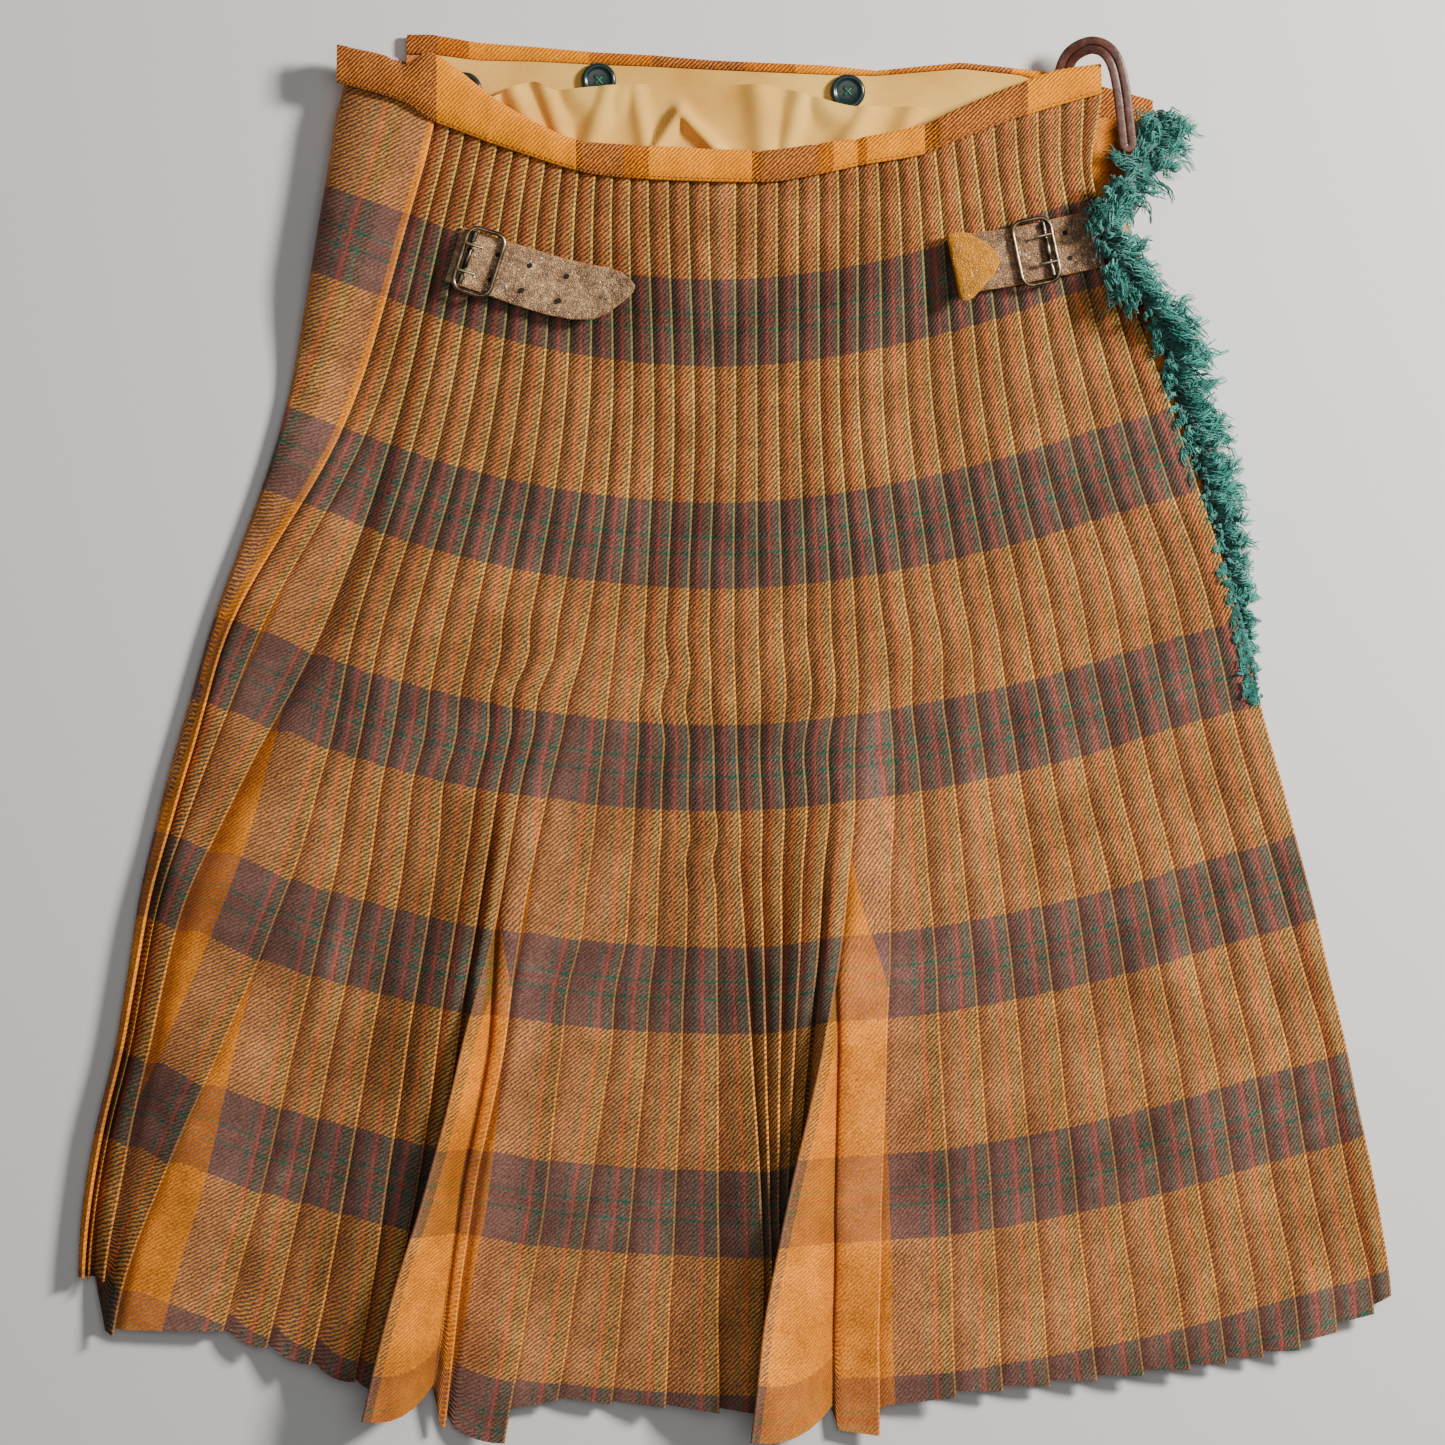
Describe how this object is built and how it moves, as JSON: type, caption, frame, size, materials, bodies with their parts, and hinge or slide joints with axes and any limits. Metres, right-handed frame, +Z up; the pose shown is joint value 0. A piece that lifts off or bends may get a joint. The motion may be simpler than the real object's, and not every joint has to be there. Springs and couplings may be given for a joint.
{
  "type": "kilt",
  "caption": "European folk dress kilt laid flat on its front: knife-pleated tartan back, waist bindings, lining with brace buttons, two buckled straps, hanger loop and fringe.",
  "frame": {"origin": "middle of the garment's footprint, on the surface it lies on", "axes": "+Y from the hem to the waist, +Z up out of the surface, +X to the right seen from above with the waist at the top"},
  "size_m": [0.6354, 0.681, 0.0333],
  "materials": {
    "saffron_tartan": "worsted wool 2/2 twill, matt",
    "apron_tartan": "worsted wool 2/2 twill, matt",
    "binding_tartan": "worsted wool 2/2 twill, matt",
    "lining_twill": "cotton twill, soft",
    "strap_leather": "grained, low sheen",
    "thong_leather": "smooth, low sheen",
    "dark_steel": "dark plated",
    "pale_brass": "worn plating",
    "button_dark": "polished",
    "fringe_wool": "loose spun wool"
  },
  "bodies": {
    "root": {"over_apron": "apron_tartan", "waistband_over": "binding_tartan", "under_apron": "apron_tartan", "waistband_front": "binding_tartan", "lining_facing": "lining_twill", "lining_lower": "lining_twill", "button_left": "button_dark", "button_middle": "button_dark", "button_right": "button_dark", "pleated_back": "saffron_tartan", "waistband_back": "binding_tartan", "strap_left": "strap_leather", "strap_right": "strap_leather", "buckle_left": "dark_steel", "bar_left": "dark_steel", "prong_left_1": "pale_brass", "prong_left_2": "pale_brass", "buckle_right": "dark_steel", "bar_right": "dark_steel", "prong_right_1": "pale_brass", "prong_right_2": "pale_brass", "hanger_loop": "thong_leather", "fringe": "fringe_wool"}
  },
  "joints": []
}
